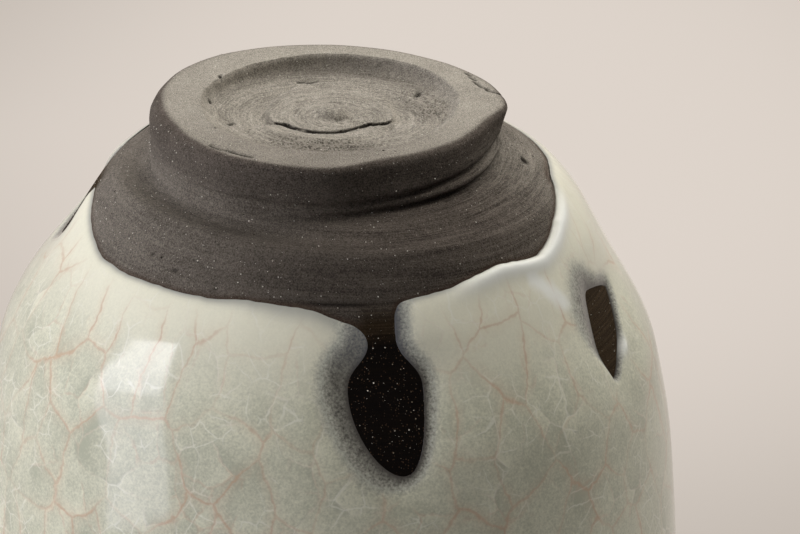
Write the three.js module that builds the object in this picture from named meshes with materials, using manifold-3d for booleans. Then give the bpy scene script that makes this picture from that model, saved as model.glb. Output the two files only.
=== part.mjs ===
// Hand-thrown stoneware tea bowl with a poured coat of glaze inside and a dipped coat outside.
// Millimetres, +Z up, standing on its foot ring at Z = 0 with the bowl's own axis on Z.
// Bearings are in degrees, counterclockwise from +X as seen from above.

import * as THREE from "three";
import { mergeVertices } from "three/addons/utils/BufferGeometryUtils.js";
import Module from "manifold-3d";

// Foot ring, turned a little off the bowl's axis
const FOOT_RADIUS = 27.6;
const FOOT_CENTRE = new THREE.Vector2(1.3, 0.6);
const FOOT_HEIGHT = 3.8;
const FOOT_EDGE_ROUND = 1.5;
const FOOT_TAPER = 1.0;
const UNDERCUT_DEPTH = 0.9;
const UNDERCUT_HEIGHT = 1.3;

// Flat that the turning tool left on the foot, and the second cut with its ridge beside it
const FLAT_BEARING = 215;
const FLAT_SPREAD = 24;
const FLAT_DEPTH = 1.8;
const SECOND_CUT_DEPTH = 1.1;
const SECOND_CUT_RIDGE = 0.6;

// Hollow under the foot, turned round a low mound with a stub of clay in its middle.
// Its floor and mound lie further back than its rim, so its wall is steepest at the back.
const HOLLOW_RADIUS = 20.5;
const HOLLOW_CENTRE = new THREE.Vector2(1.2, 1.6);
const HOLLOW_FLOOR_CENTRE = new THREE.Vector2(1.2, 2.8);
const HOLLOW_DEPTH = 3.0;
const HOLLOW_WALL_RUN = 2.4;
const HOLLOW_WALL_DEPTH = 1.9;
const HOLLOW_EDGE_ROUND = 0.4;
const MOUND_RADIUS = 9.3;
const MOUND_STEP = 0.6;
const MOUND_EDGE_RUN = 0.7;
const STUB_RADIUS = 3.2;
const STUB_TOP_RADIUS = 1.9;
const STUB_HEIGHT = 0.8;
const STUB_CROWN = 0.1;

// Outside of the clay wall, from the neck above the foot to the lip
const SHOULDER_START_RADIUS = 28.5;
const SHOULDER_START_RISE = 0.9;
const SHOULDER_WIDENING = 5.2;
const SHOULDER_RISE = 4.0;
const FLANK_INSET = 13.8;
const FLANK_DROP = 45.9;
const HIP_INSET = 5.5;
const HIP_DROP = 31.0;
const BELLY_RADIUS = 55.4;
const LIP_RISE = 12.0;
const LIP_INSET = 0.9;
const CLAY_HEIGHT = 80.5;

// Inside of the bowl
const LIP_WALL = 3.8;
const BASE_THICKNESS = 6.2;
const INNER_FULLNESS = 2.6;
const POOL_RADIUS = 15.0;
const POOL_DEPTH = 0.8;
const POOL_EDGE_RUN = 4.0;

// Glaze coats. The seat is the clearance between a coat and the clay under it.
const COAT_SEAT = 0.25;
const OUTER_COAT = 1.15;
const INNER_COAT = 0.9;
const ROLLED_EDGE = 1.55;
const ROLLED_EDGE_RUN = 2.2;
const ROLLED_EDGE_OVERHANG = 0.5;
const LAP_DEPTH = 6.0;
const LAP_GAP = 0.4;

// Levels that the bowl was dipped to, one side after another. Each level rises towards a bearing.
const DIPS = [
  { level: 16.4, rise: 2.4, bearing: 0 },
  { level: 16.4, rise: 8.5, bearing: 255 },
  { level: 13.6, rise: 10.7, bearing: 300 },
];
const DIP_LOWEST = 9.0;
const SAGS = [
  { bearing: 286, spread: 8, drop: 0.8 },
  { bearing: 231, spread: 10, drop: 1.2 },
];

// Bare patches where fingers held the bowl while it was dipped.
// A patch with a neck runs out into the bare shoulder below it.
const FINGER_PATCHES = [
  { bearing: 259.4, low: 20.0, high: 37.6, width: 10.8, lean: -2.0, neck: 4.8 },
  { bearing: 202.3, low: 22.3, high: 33.8, width: 8.4, lean: 3.3 },
  { bearing: 152, low: 18.0, high: 30.5, width: 9.5, lean: 1.5 },
  { bearing: 7, low: 15.0, high: 25.0, width: 15.0, lean: 1.0, neck: 11.0 },
];
const PATCH_CUT_MARGIN = 3.0;

// Facets
const SEGMENTS = 60;
const WALL_STEPS = 12;
const WALL_STEP_GROWTH = 1.15;
const ARC_STEPS = 4;
const LAP_STEPS = 2;
const INNER_STEPS = 12;
const PATCH_CURVE_STEPS = 5;

// Heights and radii that follow from the sizes above
const neckRadius = FOOT_RADIUS - FOOT_TAPER - UNDERCUT_DEPTH;
const neckHeight = FOOT_HEIGHT + UNDERCUT_HEIGHT;
const shoulderStart = neckHeight + SHOULDER_START_RISE;
const bellyHeight = CLAY_HEIGHT - LIP_RISE;
const lipRadius = BELLY_RADIUS - LIP_INSET;
const lipRound = LIP_WALL / 2;
const lipShoulder = CLAY_HEIGHT - lipRound;
const innerRadius = lipRadius - LIP_WALL;
const floorHeight = HOLLOW_DEPTH + BASE_THICKNESS;
const innerDepth = lipShoulder - floorHeight - POOL_DEPTH;

// A bump of height 1 at a bearing, fading over a spread of degrees to each side
function bump(bearing, centre, spread) {
  const away = THREE.MathUtils.euclideanModulo(bearing - centre + 180, 360) - 180;
  return Math.exp(-((away / spread) ** 2));
}

// Evenly spaced numbers
function steps(count, from = 0, to = 1) {
  return Array.from({ length: count + 1 }, (_, i) => from + ((to - from) * i) / count);
}

// Smooth curve of radius over height through a few stations, each [height, radius]
function smoothRadius(stations) {
  const last = stations.length - 1;
  const slopes = stations.map((_, i) => {
    const before = stations[Math.max(i - 1, 0)];
    const after = stations[Math.min(i + 1, last)];
    return (after[1] - before[1]) / (after[0] - before[0]);
  });
  return (height) => {
    const passed = stations.filter((each) => each[0] <= height).length;
    const i = THREE.MathUtils.clamp(passed - 1, 0, last - 1);
    const [low, lowRadius] = stations[i];
    const [high, highRadius] = stations[i + 1];
    const step = high - low;
    const t = (height - low) / step;
    const fromLow = (lowRadius * (1 + 2 * t) + slopes[i] * step * t) * (1 - t) ** 2;
    const fromHigh = (highRadius * (3 - 2 * t) - slopes[i + 1] * step * (1 - t)) * t ** 2;
    return fromLow + fromHigh;
  };
}

const wallRadius = smoothRadius([
  [shoulderStart, SHOULDER_START_RADIUS],
  [shoulderStart + SHOULDER_RISE, SHOULDER_START_RADIUS + SHOULDER_WIDENING],
  [bellyHeight - FLANK_DROP, BELLY_RADIUS - FLANK_INSET],
  [bellyHeight - HIP_DROP, BELLY_RADIUS - HIP_INSET],
  [bellyHeight, BELLY_RADIUS],
  [lipShoulder, lipRadius],
]);

// A place on the clay: its point in the radial plane, and the way that faces off the clay.
// This one is on the outside of the wall at a height.
function wallPlace(height) {
  const reach = 0.01;
  const slope = (wallRadius(height + reach) - wallRadius(height - reach)) / (2 * reach);
  return {
    point: new THREE.Vector2(wallRadius(height), height),
    normal: new THREE.Vector2(1, -slope).normalize(),
  };
}

// Place on the round crown of the lip, from 0 on the outside to 1 on the inside
function lipPlace(share) {
  const normal = new THREE.Vector2(Math.cos(Math.PI * share), Math.sin(Math.PI * share));
  const centre = new THREE.Vector2(lipRadius - lipRound, lipShoulder);
  return { point: centre.addScaledVector(normal, lipRound), normal };
}

// Inside of the bowl, from 0 at the lip to 1 at the middle of the floor.
// It rounds into the floor as a superellipse, with a shallow pool for the last of the tea.
function innerPoint(share) {
  const angle = (Math.PI / 2) * share;
  const power = 2 / INNER_FULLNESS;
  const radius = innerRadius * Math.cos(angle) ** power;
  const pool = THREE.MathUtils.smoothstep(POOL_RADIUS + POOL_EDGE_RUN - radius, 0, POOL_EDGE_RUN);
  return new THREE.Vector2(radius, lipShoulder - innerDepth * Math.sin(angle) ** power - POOL_DEPTH * pool);
}

function innerPlace(share) {
  const reach = 0.002;
  const along = innerPoint(Math.min(share + reach, 1)).sub(innerPoint(Math.max(share - reach, 0)));
  return { point: innerPoint(share), normal: new THREE.Vector2(along.y, -along.x).normalize() };
}

// How far along the inside a depth below the lip is
function innerShare(depth) {
  return (2 / Math.PI) * Math.asin((depth / innerDepth) ** (INNER_FULLNESS / 2));
}

// Point at a distance off the clay
function offClay(place, distance) {
  return place.point.clone().addScaledVector(place.normal, distance);
}

// Ring at a height round a centre, whose radius may change with the bearing
function circle(radius, height, centre) {
  return (bearing) => {
    const angle = THREE.MathUtils.degToRad(bearing);
    const reach = typeof radius === "function" ? radius(bearing) : radius;
    return new THREE.Vector3(centre.x + reach * Math.cos(angle), centre.y + reach * Math.sin(angle), height);
  };
}

// Ring round the bowl's axis, whose point in the radial plane may change with the bearing
function axisRing(pointAt) {
  return (bearing) => {
    const angle = THREE.MathUtils.degToRad(bearing);
    const point = pointAt(bearing);
    return new THREE.Vector3(point.x * Math.cos(angle), point.x * Math.sin(angle), point.y);
  };
}

function coatRings(places, distance) {
  return places.map((place) => axisRing(() => offClay(place, distance)));
}

// Closed surface through rings. A ring is a function of the bearing, or one point where the surface closes.
function loft(rings, joinEnds) {
  const positions = [];
  const indices = rings.map((ring) => {
    const first = positions.length / 3;
    const points = ring.isVector3 ? [ring] : steps(SEGMENTS, 0, 360).slice(0, -1).map(ring);
    points.forEach((point) => positions.push(point.x, point.y, point.z));
    return (k) => first + (k % points.length);
  });
  const faces = [];
  const spans = joinEnds ? rings.length : rings.length - 1;
  for (let i = 0; i < spans; i += 1) {
    const lower = indices[i];
    const upper = indices[(i + 1) % rings.length];
    for (let k = 0; k < SEGMENTS; k += 1) {
      if (lower(k) !== lower(k + 1)) faces.push(lower(k), lower(k + 1), upper(k + 1));
      if (upper(k) !== upper(k + 1)) faces.push(lower(k), upper(k + 1), upper(k));
    }
  }
  const geometry = new THREE.BufferGeometry();
  geometry.setAttribute("position", new THREE.Float32BufferAttribute(positions, 3));
  geometry.setIndex(faces);
  geometry.computeVertexNormals();
  return geometry;
}

// Hollow under the foot, from its stub out to the standing face
function hollowRings() {
  const moundFace = HOLLOW_DEPTH - MOUND_STEP;
  const stubTop = moundFace - STUB_HEIGHT;
  const wallTop = HOLLOW_RADIUS - HOLLOW_EDGE_ROUND;
  const at = (radius, height) => circle(radius, height, HOLLOW_CENTRE);
  const onFloor = (radius, height) => circle(radius, height, HOLLOW_FLOOR_CENTRE);
  return [
    new THREE.Vector3(HOLLOW_CENTRE.x, HOLLOW_CENTRE.y, stubTop - STUB_CROWN),
    at(STUB_TOP_RADIUS, stubTop),
    at(STUB_RADIUS, moundFace),
    onFloor(MOUND_RADIUS, moundFace),
    onFloor(MOUND_RADIUS + MOUND_EDGE_RUN, HOLLOW_DEPTH),
    onFloor(wallTop - HOLLOW_WALL_RUN, HOLLOW_WALL_DEPTH),
    at(wallTop, HOLLOW_EDGE_ROUND),
    at(HOLLOW_RADIUS, 0),
  ];
}

// Foot ring, from the standing face up its side and through the undercut
function footRings() {
  const at = (radius, height, change) =>
    circle((bearing) => radius + change * bump(bearing, FLAT_BEARING, FLAT_SPREAD), height, FOOT_CENTRE);
  const edge = steps(ARC_STEPS, 0, Math.PI / 2).map((angle) => {
    const radius = FOOT_RADIUS - FOOT_EDGE_ROUND * (1 - Math.sin(angle));
    return at(radius, FOOT_EDGE_ROUND * (1 - Math.cos(angle)), -FLAT_DEPTH);
  });
  const [, firstCut, ridge, secondCut] = steps(3, FOOT_HEIGHT, neckHeight);
  return [
    ...edge,
    at(FOOT_RADIUS - FOOT_TAPER, FOOT_HEIGHT, -FLAT_DEPTH),
    at(neckRadius, firstCut, -FLAT_DEPTH),
    at(neckRadius, ridge, SECOND_CUT_RIDGE - FLAT_DEPTH),
    at(neckRadius, secondCut, -SECOND_CUT_DEPTH),
  ];
}

// The thrown bowl and its turned foot, one piece of stoneware
function clayBody() {
  const wall = steps(WALL_STEPS).map((share) =>
    wallPlace(shoulderStart + (lipShoulder - shoulderStart) * share ** WALL_STEP_GROWTH),
  );
  const lip = steps(ARC_STEPS).slice(1).map(lipPlace);
  const inside = steps(INNER_STEPS).slice(1, -1).map(innerPlace);
  return loft([
    ...hollowRings(),
    ...footRings(),
    ...coatRings([...wall, ...lip, ...inside], 0),
    new THREE.Vector3(0, 0, floorHeight),
  ]);
}

// Height of the dip line at a bearing: the lowest of the levels, less the sags
function dipLine(bearing) {
  const levels = DIPS.map(
    (dip) => dip.level + dip.rise * Math.cos(THREE.MathUtils.degToRad(bearing - dip.bearing)),
  );
  const sag = SAGS.reduce((sum, each) => sum + each.drop * bump(bearing, each.bearing, each.spread), 0);
  return Math.max(Math.min(...levels), DIP_LOWEST) - sag;
}

// Dipped coat before the fingers' patches: up the wall from the dip line, over the lip and a little way inside
function dippedCoat() {
  const free = COAT_SEAT + OUTER_COAT;
  const aboveDip = (rise, distance) =>
    axisRing((bearing) => offClay(wallPlace(dipLine(bearing) + rise), distance));
  const upWall = (share, distance) =>
    axisRing((bearing) => {
      const start = dipLine(bearing) + ROLLED_EDGE_RUN;
      return offClay(wallPlace(start + (lipShoulder - start) * share ** WALL_STEP_GROWTH), distance);
    });
  const wallShares = steps(WALL_STEPS);
  const lip = steps(ARC_STEPS).slice(1).map(lipPlace);
  const lap = steps(LAP_STEPS, 0, innerShare(LAP_DEPTH)).slice(1).map(innerPlace);
  const over = [...lip, ...lap];
  return loft(
    [
      aboveDip(-ROLLED_EDGE_OVERHANG, COAT_SEAT + ROLLED_EDGE / 2),
      aboveDip(0, COAT_SEAT + ROLLED_EDGE),
      ...wallShares.map((share) => upWall(share, free)),
      ...coatRings(over, free),
      ...coatRings(over.reverse(), COAT_SEAT),
      ...wallShares.reverse().map((share) => upWall(share, COAT_SEAT)),
      aboveDip(0, COAT_SEAT),
    ],
    true,
  );
}

// Poured coat, from the edge of the dipped coat's lap down over the floor
function pouredCoat() {
  const start = innerShare(LAP_DEPTH + LAP_GAP);
  const inside = steps(INNER_STEPS, start, 1).slice(0, -1).map(innerPlace);
  return loft(
    [
      ...coatRings(inside, COAT_SEAT + INNER_COAT),
      new THREE.Vector3(0, 0, floorHeight + COAT_SEAT + INNER_COAT),
      new THREE.Vector3(0, 0, floorHeight + COAT_SEAT),
      ...coatRings(inside.reverse(), COAT_SEAT),
    ],
    true,
  );
}

// Outline of a finger's patch, across the wall by height
function patchOutline(patch, bottom) {
  const half = patch.width / 2;
  const middle = (patch.low + patch.high) / 2;
  const upper = (patch.high - middle) / 2;
  const outline = new THREE.Shape();
  outline.moveTo(half, middle);
  outline.bezierCurveTo(half, middle + upper, patch.lean + half / 2, patch.high, patch.lean, patch.high);
  outline.bezierCurveTo(patch.lean - half / 2, patch.high, -half, middle + upper, -half, middle);
  if (patch.neck) {
    const side = patch.neck / 2;
    outline.bezierCurveTo(-half, middle - upper, -side, patch.low + upper, -side, patch.low);
    outline.lineTo(-side, bottom);
    outline.lineTo(side, bottom);
    outline.lineTo(side, patch.low);
    outline.bezierCurveTo(side, patch.low + upper, half, middle - upper, half, middle);
  } else {
    outline.bezierCurveTo(-half, middle - upper, -patch.lean - half / 2, patch.low, -patch.lean, patch.low);
    outline.bezierCurveTo(half / 2 - patch.lean, patch.low, half, middle - upper, half, middle);
  }
  return outline;
}

// Block that cuts a finger's patch out of the coat, level with the bowl's axis at the patch's bearing
function patchCutter(patch) {
  const bottom = patch.neck ? dipLine(patch.bearing) - PATCH_CUT_MARGIN : patch.low;
  const near = wallRadius(bottom) - PATCH_CUT_MARGIN;
  const far = wallRadius(patch.high) + COAT_SEAT + ROLLED_EDGE + PATCH_CUT_MARGIN;
  const block = new THREE.ExtrudeGeometry(patchOutline(patch, bottom), {
    depth: far - near,
    curveSegments: PATCH_CURVE_STEPS,
    bevelEnabled: false,
  });
  const angle = THREE.MathUtils.degToRad(patch.bearing);
  const outward = new THREE.Vector3(Math.cos(angle), Math.sin(angle), 0);
  const up = new THREE.Vector3(0, 0, 1);
  const across = new THREE.Vector3().crossVectors(up, outward);
  const turn = new THREE.Matrix4().makeBasis(across, up, outward);
  return block.translate(0, 0, near).applyMatrix4(turn);
}

const wasm = await Module();
wasm.setup();

function solidOf(geometry) {
  const bare = geometry.clone();
  bare.deleteAttribute("normal");
  bare.deleteAttribute("uv");
  const merged = mergeVertices(bare);
  return new wasm.Manifold(
    new wasm.Mesh({
      numProp: 3,
      vertProperties: merged.attributes.position.array,
      triVerts: Uint32Array.from(merged.index.array),
    }),
  );
}

// Dipped coat with the fingers' patches cut out
function outerCoat() {
  const coat = FINGER_PATCHES.reduce(
    (left, patch) => left.subtract(solidOf(patchCutter(patch))),
    solidOf(dippedCoat()),
  );
  const mesh = coat.getMesh();
  const geometry = new THREE.BufferGeometry();
  geometry.setAttribute("position", new THREE.BufferAttribute(mesh.vertProperties, 3));
  geometry.setIndex(new THREE.BufferAttribute(mesh.triVerts, 1));
  geometry.computeVertexNormals();
  return geometry;
}

const stoneware = new THREE.MeshStandardMaterial({ color: 0x6f675f, roughness: 0.85, metalness: 0 });
const celadon = new THREE.MeshStandardMaterial({ color: 0xc3c2b0, roughness: 0.15, metalness: 0 });

function piece(name, geometry, material) {
  const mesh = new THREE.Mesh(geometry, material);
  mesh.name = name;
  return mesh;
}

const bowl = new THREE.Group();
bowl.add(piece("clay_body", clayBody(), stoneware));
bowl.add(piece("inner_glaze", pouredCoat(), celadon));
bowl.add(piece("outer_glaze", outerCoat(), celadon));

export default bowl;
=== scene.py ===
import bpy
import numpy as np
from mathutils import Matrix, Vector
from mathutils.geometry import delaunay_2d_cdt


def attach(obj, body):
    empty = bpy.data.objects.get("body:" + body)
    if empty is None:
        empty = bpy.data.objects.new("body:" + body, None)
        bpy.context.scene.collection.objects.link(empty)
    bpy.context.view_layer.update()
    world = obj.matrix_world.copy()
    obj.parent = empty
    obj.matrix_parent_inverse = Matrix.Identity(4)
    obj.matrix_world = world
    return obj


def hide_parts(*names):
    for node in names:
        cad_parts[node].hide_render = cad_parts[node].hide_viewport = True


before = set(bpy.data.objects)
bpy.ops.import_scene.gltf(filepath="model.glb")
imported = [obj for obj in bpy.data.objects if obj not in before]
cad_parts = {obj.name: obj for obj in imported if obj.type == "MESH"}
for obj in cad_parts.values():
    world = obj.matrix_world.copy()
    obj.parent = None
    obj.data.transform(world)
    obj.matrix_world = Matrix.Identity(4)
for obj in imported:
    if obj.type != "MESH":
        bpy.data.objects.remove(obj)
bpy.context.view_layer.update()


# Clay body
# The bowl itself, one piece of gritty grey-brown stoneware: thrown on a wheel, then turned over
# and cut, which left the foot ring, the hollow under it, and the lines that run round them.
MM = 0.001
SEGMENTS = 512
bearings = np.arange(SEGMENTS) * 360.0 / SEGMENTS
around = np.radians(bearings)
to_back = np.sin(around)

foot_radius = 27.6
foot_centre = (1.3, 0.6)
foot_height = 3.8
foot_taper = 1.0
foot_edge_round = 0.8
undercut_depth = 0.9
undercut_run = 0.45
flat_bearing = 222
flat_spread = 41
flat_depth = 1.8
flat_slope = 2.0
ridge_height = 4.7
ridge_reach = 2.2
ridge_half_height = 0.42
hollow_radius = 20.5
hollow_centre = (1.2, 1.6)
hollow_depth = 3.0
hollow_oval = 1.6
hollow_oval_bearing = 112
hollow_wall_depth = 1.9
hollow_wall_deeper = 0.45
hollow_wall_run = 4.4
floor_shift = 1.2
mound_radius = 9.5
mound_back = 4.6
mound_step = 0.85
mound_edge_run = 0.7
stub_radius = 3.2
stub_top_radius = 1.0
stub_height = 0.9
neck_end = 5.25
shoulder_start = 6.0
belly_height = 68.5
lip_round = 1.9
lip_radius = 54.5
clay_height = 80.5
lip_shoulder = clay_height - lip_round
inner_radius = lip_radius - 2 * lip_round
floor_height = 9.2
inner_fullness = 2.6
pool_radius = 15.0
pool_depth = 0.8
pool_edge_run = 4.0
inner_depth = lip_shoulder - floor_height - pool_depth


def peak(value, middle, reach, power=2):
    """A peak of height 1 at a middle value, flatter on top and steeper at its reach for a higher power."""
    return np.exp(-(((value - middle) / reach) ** power))


def turn_from(bearing, centre):
    """Degrees to a bearing from another, between -180 and 180."""
    return (bearing - centre + 180) % 360 - 180


def bump(bearing, centre, spread):
    """A bump of height 1 at a bearing, fading over a spread of degrees to each side."""
    return peak(turn_from(bearing, centre), 0, spread)


def bumps(bearing, *each):
    """Sum of bumps, each given by its bearing, its spread and its height."""
    return sum(height * bump(bearing, centre, spread) for centre, spread, height in each)


def waves(*each):
    """Sum of waves round the bowl, each given by its count, its height and its phase."""
    return sum(height * np.sin(count * around + phase) for count, height, phase in each)


def ease(value, low, high):
    """From 0 at low to 1 at high, smooth at both ends."""
    share = np.clip((value - low) / (high - low), 0, 1)
    return share * share * (3 - 2 * share)


def wall_radius(height):
    """Outside of the clay wall: a smooth curve of radius over height through a few stations."""
    heights = np.array([shoulder_start, 10.0, 22.6, 37.5, belly_height, lip_shoulder])
    radii = np.array([28.5, 33.7, 41.6, 49.9, 55.4, lip_radius])
    before = np.maximum(np.arange(6) - 1, 0)
    after = np.minimum(np.arange(6) + 1, 5)
    slopes = (radii[after] - radii[before]) / (heights[after] - heights[before])
    i = np.clip(np.searchsorted(heights, height, side="right") - 1, 0, 4)
    step = heights[i + 1] - heights[i]
    t = (height - heights[i]) / step
    from_low = (radii[i] * (1 + 2 * t) + slopes[i] * step * t) * (1 - t) ** 2
    from_high = (radii[i + 1] * (3 - 2 * t) - slopes[i + 1] * step * (1 - t)) * t**2
    return from_low + from_high


def inner_point(share):
    """Inside of the bowl in the radial plane, from 0 at the lip to 1 at the middle of the floor."""
    angle = np.pi / 2 * share
    radius = inner_radius * np.clip(np.cos(angle), 0, 1) ** (2 / inner_fullness)
    pool = ease(pool_radius + pool_edge_run - radius, 0, pool_edge_run)
    height = lip_shoulder - inner_depth * np.sin(angle) ** (2 / inner_fullness) - pool_depth * pool
    return radius, height


# The clay's profile as one line: up the wall, over the lip and down the inside, by length along it
wall_steps = 1200
lip_steps = 120
wall_heights = np.linspace(shoulder_start, lip_shoulder, wall_steps)
lip_angles = np.linspace(0, np.pi, lip_steps + 1)[1:]
lip_radii = lip_radius - lip_round + lip_round * np.cos(lip_angles)
inner_line = inner_point(np.linspace(0, 1, wall_steps + 1)[1:])
line_radius = np.concatenate([wall_radius(wall_heights), lip_radii, inner_line[0]])
line_height = np.concatenate([wall_heights, lip_shoulder + lip_round * np.sin(lip_angles), inner_line[1]])
line_length = np.concatenate([[0], np.cumsum(np.hypot(np.diff(line_radius), np.diff(line_height)))])
lip_length = line_length[wall_steps - 1]
inside_length = line_length[wall_steps + lip_steps - 1]
floor_length = line_length[-1]


def profile(length):
    """Radius and height at a length along the profile."""
    return np.array([np.interp(length, line_length, line) for line in (line_radius, line_height)])


def on_line(length):
    """Radius and height at a length along the profile, and the direction that faces off the clay."""
    reach = 0.15
    first, last = [profile(np.clip(length + step, 0, floor_length)) for step in (-reach, reach)]
    along_r, along_z = (last - first) / np.hypot(*(last - first))
    return (*profile(length), along_z, -along_r)


def wall_length(height):
    """Length along the profile at a height on the outside of the wall."""
    return np.interp(height, wall_heights, line_length[:wall_steps])


# Bare patches where fingers held the bowl while it was dipped: each is a drop on the wall, or a shape
# through corners, across the wall by height. A patch with a neck runs out into the bare shoulder.
# Where the dip line meets a patch, the corner is rounded on the sides of lower and of higher bearings.
# Beside a patch the glaze is smoky up to one distance and clears up to another. Both are given at
# the low and at the high end, each for the side at lower and the side at higher bearings.
first_finger = {
    "bearing": 259.3, "low": 20.0, "high": 37.6, "width": 10.9, "neck": 3.6, "lean": -2.0, "widest": 0.4,
    "corner": (2.2, 6.0), "dark": 1.0, "smoke": 0.17,
    "smoky": ((0.0, 2.0), (0.0, 0.8)), "clear": ((3.2, 6.0), (2.2, 5.2)),
}
second_finger = {
    "bearing": 202.3, "low": 22.3, "high": 33.1, "width": 8.4, "neck": 0,
    "corners": [(0.3, 22.3), (-7.0, 24.4), (-2.2, 29.5), (1.3, 31.6), (4.9, 33.3), (5.5, 29.1), (2.6, 24.2)],
    "corner": (2.2, 2.2), "dark": 0.54, "smoke": 0.08,
    "smoky": ((0.0, 1.2), (0.0, 0.0)), "clear": ((2.4, 8.0), (0.7, 1.2)),
}
third_finger = {
    "bearing": 152, "low": 18.0, "high": 30.5, "width": 9.5, "neck": 0, "lean": 1.5, "widest": 0.5,
    "corner": (2.2, 2.2), "dark": 0.8, "smoke": 0.1,
    "smoky": ((0.6, 1.0), (0.0, 0.0)), "clear": ((3.4, 5.0), (1.4, 2.0)),
}
thumb = {
    "bearing": 7.6, "low": 15.0, "high": 25.0, "width": 13.6, "neck": 10.0, "lean": 1.0, "widest": 0.5,
    "corner": (2.2, 2.2), "dark": 0.8, "smoke": 0.1,
    "smoky": ((0.2, 0.2), (0.2, 0.4)), "clear": ((1.8, 2.2), (2.0, 3.0)),
}
finger_patches = [first_finger, second_finger, third_finger, thumb]
patch_bottom = 9.0
patch_top = 40.0
patch_far = 30.0
corner_sharpness = 9


def curve(start, first, second, end, count=14):
    """Points on a curve with two handles, without its end."""
    t = np.arange(count)[:, None] / count
    ends = np.outer(1 - t, start) * (1 - t) ** 2 + np.outer(t, end) * t**2
    return ends + 3 * t * (1 - t) * (np.outer(1 - t, first) + np.outer(t, second))


def patch_outline(patch):
    """Outline of a patch, across the wall by height: through its corners, or a drop of its width and ends."""
    if "corners" in patch:
        here = np.array(patch["corners"])
        there = np.roll(here, -1, 0)
        slope = (there - np.roll(here, 1, 0)) / corner_sharpness
        handles = zip(here, here + slope, there - np.roll(slope, -1, 0), there)
        return np.concatenate([curve(*each) for each in handles])
    half, lean = patch["width"] / 2, patch["lean"]
    low, high = patch["low"], patch["high"]
    middle = low + (high - low) * patch["widest"]
    upper, lower = (middle + high) / 2, (middle + low) / 2
    right, left = (half, middle), (-half, middle)
    pieces = [
        curve(right, (half, upper), (lean + half / 2, high), (lean, high)),
        curve((lean, high), (lean - half / 2, high), (-half, upper), left),
    ]
    if patch["neck"]:
        side = patch["neck"] / 2
        pieces += [
            curve(left, (-half, lower), (-side, lower), (-side, low)),
            np.array([(-side, low), (-side, patch_bottom), (side, patch_bottom)]),
            curve((side, low), (side, lower), (half, lower), right),
        ]
    else:
        pieces += [
            curve(left, (-half, lower), (-lean - half / 2, low), (-lean, low)),
            curve((-lean, low), (half / 2 - lean, low), (half, lower), right),
        ]
    return np.concatenate(pieces)


def line_distance(x, y, points):
    """Distance to a line through points."""
    nearest = np.full(x.shape, np.inf)
    for (ax, ay), (bx, by) in zip(points[:-1], points[1:]):
        t = np.clip(((x - ax) * (bx - ax) + (y - ay) * (by - ay)) / ((bx - ax) ** 2 + (by - ay) ** 2), 0, 1)
        nearest = np.minimum(nearest, np.hypot(x - ax - t * (bx - ax), y - ay - t * (by - ay)))
    return nearest


def patch_distance(patch, bearing, length):
    """How far a place on the wall is outside a patch, less than 0 inside it, and its side across it."""
    across = np.radians(turn_from(bearing, patch["bearing"])) * profile(length)[0]
    near = (np.abs(across) < patch_far) & (length < lip_length)
    x, y = across[near], length[near]
    outline = patch_outline(patch)
    outline[:, 1] = wall_length(outline[:, 1])
    outline = np.concatenate([outline, outline[:1]])
    inside = np.zeros(x.shape, bool)
    for (ax, ay), (bx, by) in zip(outline[:-1], outline[1:]):
        if ay != by:
            inside ^= ((ay > y) != (by > y)) & (x < (bx - ax) * (y - ay) / (by - ay) + ax)
    nearest = np.minimum(line_distance(x, y, outline), patch_far)
    distance = np.full(np.shape(across), patch_far)
    distance[near] = np.where(inside, -nearest, nearest)
    return distance, across


def ring(centre, radius, height):
    """Points of one ring of the clay, whose radius and height may change with the bearing."""
    x = centre[0] + radius * np.cos(around)
    y = centre[1] + radius * np.sin(around)
    return np.stack([x, y, np.broadcast_to(height, x.shape)], axis=1)


# Tear where the turning tool lifted a flap of clay from the mound, at the front of the hollow.
# The tear and the flap's edge wander: each has its distance from the middle at a few bearings.
tear_places = [(170, 9.6), (183, 9.3), (197, 8.6), (204, 7.4), (210, 6.5), (223, 6.1), (240, 6.3)]
tear_places += [(255, 6.8), (280, 7.4), (310, 7.9), (326, 8.3), (334, 9.4), (350, 10.0)]
tear_line = np.interp(bearings, *zip(*tear_places))
torn = ease(bearings, 178, 200) * ease(338 - bearings, 0, 10)
tear_depth = 0.46 * torn * (0.62 + bumps(bearings, (206, 10, 0.5), (322, 10, 0.35)))
tear_depth *= 1 - bumps(bearings, (229, 10, 0.3), (302, 10, 0.62))
tear_width = 0.11 + bumps(bearings, (208, 10, 0.2), (262, 18, 0.04), (324, 5, 0.17))
tear_width *= 1 + 0.35 * np.sin(13 * around) * np.sin(31 * around + 1.0)
flap_places = [(185, 9.8), (208, 9.6), (240, 10.4), (259, 12.1)]
flap_places += [(276, 12.7), (293, 13.3), (308, 13.4), (335, 12.0)]
flap_line = np.interp(bearings, *zip(*flap_places))
flap_rise = 0.42
flap_edge_run = 0.6
mound_edge = mound_radius + mound_back * np.clip(to_back, 0, 1) ** 2.7
mound_edge = mound_edge + (tear_line - mound_edge) * torn


# The hollow's wall starts further out on one side and is deepest and steepest at the back. Its rim is oval.
wall_depth = hollow_wall_depth + hollow_wall_deeper * to_back
wall_start = hollow_radius - hollow_wall_run + 2.4 * bump(bearings, 30, 48) + floor_shift * to_back
wall_bend = 2.8 + 1.3 * to_back
oval_turn = 2 * (around - np.radians(hollow_oval_bearing))
rim_oval = hollow_oval * np.cos(oval_turn) + 0.6 * bump(bearings, 12, 32)
rim_ragged = waves((9, 0.1, 0.6), (23, 0.08, 0.0), (37, 0.06, 2.0))


def tear_at(radius):
    """Depth of the tear on a ring of the hollow."""
    return tear_depth * peak(radius, mound_edge + 0.1, tear_width, 4)


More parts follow.
